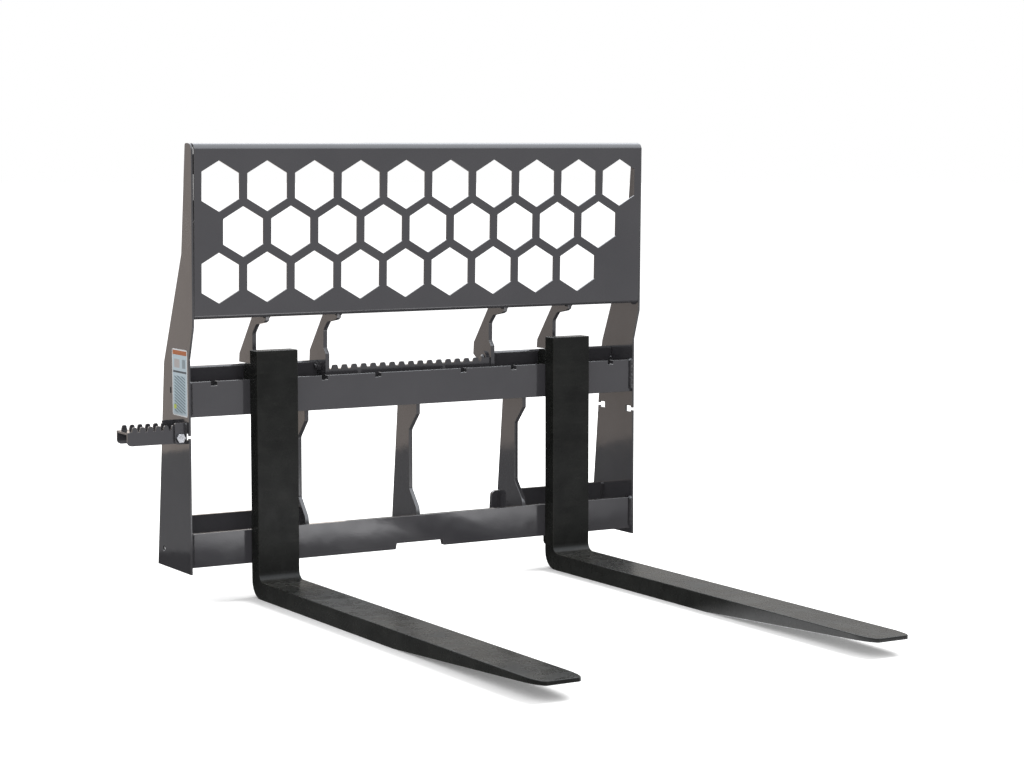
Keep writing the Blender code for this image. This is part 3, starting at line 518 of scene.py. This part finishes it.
def decal():
    """A plain printed label on the outside of the left plate, level with the upper bar."""
    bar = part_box("upper_fork_bar")[0]
    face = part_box("left_side_plate")[0].x
    low, high = at(face, bar.y, bar.z), at(face, bar.y + DECAL_SIZE[0], bar.z + DECAL_SIZE[1])
    outline = []
    for y, z, first in ((high.y, high.z, 0), (low.y, high.z, 90), (low.y, low.z, 180), (high.y, low.z, 270)):
        centre_y = y - DECAL_CORNER if y == high.y else y + DECAL_CORNER
        centre_z = z - DECAL_CORNER if z == high.z else z + DECAL_CORNER
        for i in range(DECAL_CORNER_STEPS + 1):
            a = radians(first + 90 * i / DECAL_CORNER_STEPS)
            outline.append((centre_y + DECAL_CORNER * cos(a), centre_z + DECAL_CORNER * sin(a)))
    bm = bmesh.new()
    front = [bm.verts.new((face - DECAL_THICK, y, z)) for y, z in outline]
    back = [bm.verts.new((face, y, z)) for y, z in outline]
    bm.faces.new(front)
    bm.faces.new(back)
    for i in range(len(front)):
        bm.faces.new((front[i - 1], front[i], back[i], back[i - 1]))
    make_piece("side_decal", bm, decal_print("decal_print", low, high), "carriage")


# ---------------------------------------------------------------- studio
def emitter(name):
    """A material that glows white until its emission is set, and isn't sampled as a lamp."""
    g = Graph(name)
    g.set(Base_Color=BLACK, Roughness=1.0, Specular_IOR_Level=0.0)
    g.set(Emission_Color=WHITE, Emission_Strength=1.0)
    g.material.cycles.emission_sampling = "NONE"
    return g


def seen_only_in_gloss(obj):
    """A card that shows in reflections, and neither lights the scene nor shows in the picture."""
    obj.visible_camera = False
    obj.visible_diffuse = False
    obj.visible_transmission = False
    obj.visible_volume_scatter = False
    obj.visible_shadow = False


def stage_piece(name, bm, material):
    """A piece of the studio, which isn't part of the object."""
    mesh = bpy.data.meshes.new(name)
    bm.to_mesh(mesh)
    bm.free()
    mesh.materials.append(material)
    obj = bpy.data.objects.new(name, mesh)
    bpy.context.scene.collection.objects.link(obj)
    return obj


def disc(radius, z, sides=96):
    """A level round sheet."""
    bm = bmesh.new()
    ring = [bm.verts.new((radius * cos(2 * pi * i / sides), radius * sin(2 * pi * i / sides), z))
            for i in range(sides)]
    bm.faces.new(ring)
    return bm


def aim(obj, way):
    """Turns a lamp or a camera to look along a direction."""
    obj.rotation_mode = "QUATERNION"
    obj.rotation_quaternion = way.to_track_quat("-Z", "Y")


def area_lamp(name, size, power, colour):
    """A flat lamp that the camera doesn't see."""
    lamp = bpy.data.lights.new(name, "AREA")
    lamp.shape = "RECTANGLE"
    lamp.size, lamp.size_y = size
    lamp.energy = power
    lamp.color = colour
    obj = bpy.data.objects.new(name, lamp)
    obj.visible_camera = False
    bpy.context.scene.collection.objects.link(obj)
    return obj


def group(name, objects):
    """A collection that a lamp's light is limited to, or that blocks it."""
    collection = bpy.data.collections.new(name)
    for obj in objects:
        collection.objects.link(obj)
    return collection


def white_world():
    """A white background, which also lights the scene evenly."""
    scene = bpy.context.scene
    scene.view_settings.view_transform = "Standard"
    world = bpy.data.worlds.new("studio_world")
    world.use_nodes = True
    background = world.node_tree.nodes["Background"].inputs
    background["Color"].default_value = (*WHITE, 1.0)
    background["Strength"].default_value = 1.0
    scene.world = world


def paper_floor(floor_z):
    """White paper with a lamp of its own, in which only the forks cast a shadow."""
    centre = (*PAPER_CENTRE, floor_z)
    paper = emitter("white_paper")
    away = paper.add("ShaderNodeVectorMath", {0: paper.place, 1: centre}, operation="DISTANCE")
    paper.set(Base_Color=PAPER_TONE,
              Emission_Strength=paper.range(away.outputs["Value"], *PAPER_REACH, *PAPER_GLOW))
    floor = stage_piece("studio_floor", disc(FLOOR_RADIUS, floor_z), paper.material)
    floor.visible_diffuse = False
    lamp = area_lamp("floor_light", FLOOR_LIGHT_SIZE, FLOOR_LIGHT_POWER, WHITE)
    lamp.location = FLOOR_LIGHT_PLACE
    aim(lamp, Vector(centre) - lamp.location)
    lamp.visible_glossy = False
    lamp.light_linking.receiver_collection = group("paper_only", [floor])
    forks = [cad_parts[name] for name in ("left_fork", "right_fork")]
    lamp.light_linking.blocker_collection = group("forks", forks)


def ground_in_gloss(floor_z):
    """The ground that reflections show: lit in front round a brighter spot, dim at the left and near the
    frame, and dark behind it."""
    g = emitter("ground_in_gloss")
    spot = g.add("ShaderNodeVectorMath", {0: g.place, 1: (*GROUND_SPOT, floor_z)}, operation="DISTANCE")
    lit = g.mix(g.range(spot.outputs["Value"], *SPOT_REACH), SPOT_GLOW, GROUND_GLOW)
    front = g.range(g.axis("Y"), *FRONT_RISE)
    right = g.range(g.axis("X"), *RIGHT_RISE)
    bright = g.mix(g.math("MULTIPLY", front, right), GROUND_DIM, lit)
    behind = g.range(g.axis("Y"), *BEHIND_RISE)
    g.set(Emission_Color=g.mix(behind, bright, GROUND_BEHIND))
    seen_only_in_gloss(stage_piece("ground_card", disc(GROUND_RADIUS, floor_z + GROUND_LIFT), g.material))


def walls_in_gloss():
    """The walls that reflections show: dark at the left and back, pale opposite, and bright overhead."""
    g = emitter("walls_in_gloss")
    towards = g.add("ShaderNodeVectorMath", {0: g.place, 1: LEFT_BACK / WALL_RADIUS}, operation="DOT_PRODUCT")
    towards = towards.outputs["Value"]
    height = g.math("DIVIDE", g.axis("Z"), WALL_RADIUS)
    tone = g.mix(g.range(towards, *DARK_COSINES), WALL_GLOW, WALL_DARK)
    tone = g.mix(g.range(towards, *FRONT_COSINES), tone, WALL_FRONT_GLOW)
    g.set(Emission_Color=g.mix(g.range(height, *OVERHEAD_SINES), tone, WALL_OVERHEAD))
    dome = bmesh.new()
    bmesh.ops.create_uvsphere(dome, u_segments=48, v_segments=24, radius=WALL_RADIUS)
    seen_only_in_gloss(stage_piece("wall_card", dome, g.material))


def softboxes(painted, floor_z):
    """Two tilted panels that show in the side plates and meet in an edge: a warm one, and a dim one below."""
    turn = (-LEFT_BACK).to_track_quat("-Z", "Y") @ Quaternion((0, 0, 1), SOFTBOX_ROLL)
    edge = LEFT_BACK * SOFTBOX_DISTANCE + UP * (floor_z + SOFTBOX_EDGE)
    for name, reach, power, colour in SOFTBOXES:
        lamp = area_lamp(name, (SOFTBOX_WIDTH, abs(reach)), power, colour)
        lamp.rotation_mode = "QUATERNION"
        lamp.rotation_quaternion = turn
        lamp.location = edge + turn @ Vector((0, reach / 2, 0))
        lamp.visible_diffuse = False
        lamp.light_linking.receiver_collection = painted


def fill_light(painted):
    """A soft light on the frame from the front left."""
    lamp = area_lamp("fill_light", FILL_SIZE, FILL_POWER, FILL_COLOUR)
    lamp.location = FILL_PLACE
    aim(lamp, -lamp.location)
    lamp.visible_glossy = False
    lamp.light_linking.receiver_collection = painted


def studio(floor_z):
    """Everything round the object."""
    white_world()
    paper_floor(floor_z)
    ground_in_gloss(floor_z)
    walls_in_gloss()
    frame_nodes = [obj for name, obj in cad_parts.items() if slot_of(name) != "fork_steel"]
    painted = group("painted_frame", frame_nodes)
    softboxes(painted, floor_z)
    fill_light(painted)


def camera():
    """The camera, at the angle that the studio is lit for."""
    azimuth, elevation = radians(VIEW_AZIMUTH), radians(VIEW_ELEVATION)
    back = Vector((sin(azimuth) * cos(elevation), -cos(azimuth) * cos(elevation), sin(elevation)))
    data = bpy.data.cameras.new("camera")
    data.lens = LENS
    data.sensor_width = SENSOR
    obj = bpy.data.objects.new("camera", data)
    obj.location = VIEW_TARGET + back * VIEW_DISTANCE
    aim(obj, -back)
    bpy.context.scene.collection.objects.link(obj)
    bpy.context.scene.camera = obj


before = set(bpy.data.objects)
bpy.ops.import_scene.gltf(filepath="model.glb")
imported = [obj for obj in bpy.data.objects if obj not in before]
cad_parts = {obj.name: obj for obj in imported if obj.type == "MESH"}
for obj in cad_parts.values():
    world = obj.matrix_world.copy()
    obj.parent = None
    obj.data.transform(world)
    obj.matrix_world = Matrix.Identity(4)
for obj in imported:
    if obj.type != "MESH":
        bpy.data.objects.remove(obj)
cad_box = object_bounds()
camera()
studio(cad_box[0].z)
finishes = materials()
for name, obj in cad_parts.items():
    dress_node(name, obj, finishes)
weld_beads(finishes)
decal()
